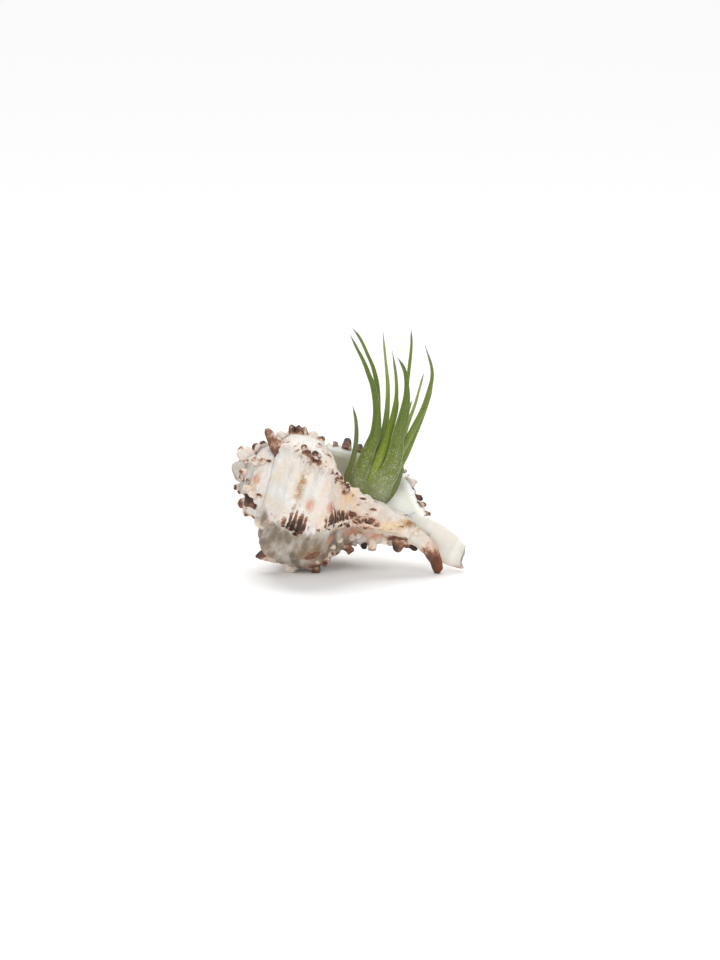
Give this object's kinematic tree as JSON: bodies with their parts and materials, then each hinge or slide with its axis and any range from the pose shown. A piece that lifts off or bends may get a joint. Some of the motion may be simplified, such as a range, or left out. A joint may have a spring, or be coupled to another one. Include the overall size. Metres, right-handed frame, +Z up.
{
  "type": "streptophylla air plant in a murex shell",
  "caption": "Air plant with long tapering channelled leaves growing out of the mouth of a spiny, worn murex sea shell that lies on its back.",
  "frame": {"origin": "on the surface the shell lies on, under the middle of the whole object", "axes": "+X towards the shell's canal end, -Y towards the side that shows the back of the body whorl, +Z up"},
  "size_m": [0.093, 0.0587, 0.0946],
  "materials": {
    "shell": "worn sea shell: chalky white and cream with brown spines, glossy white inside the mouth",
    "stem": "dry fibrous stem base",
    "leaf": "satin green leaf with fine silvery scales, denser towards the base"
  },
  "bodies": {
    "root": {"murex_shell": "shell", "stem_base": "stem", "leaf_front_right": "leaf", "leaf_front_left": "leaf", "leaf_front_middle": "leaf", "leaf_right": "leaf", "leaf_back_left": "leaf", "leaf_far_left": "leaf", "leaf_right_thin": "leaf", "leaf_back_middle": "leaf", "leaf_back_right": "leaf", "leaf_right_short": "leaf", "leaf_inner_tip": "leaf", "leaf_outer_sheath": "leaf", "leaf_behind_left": "leaf", "leaf_behind_right": "leaf"}
  },
  "joints": []
}
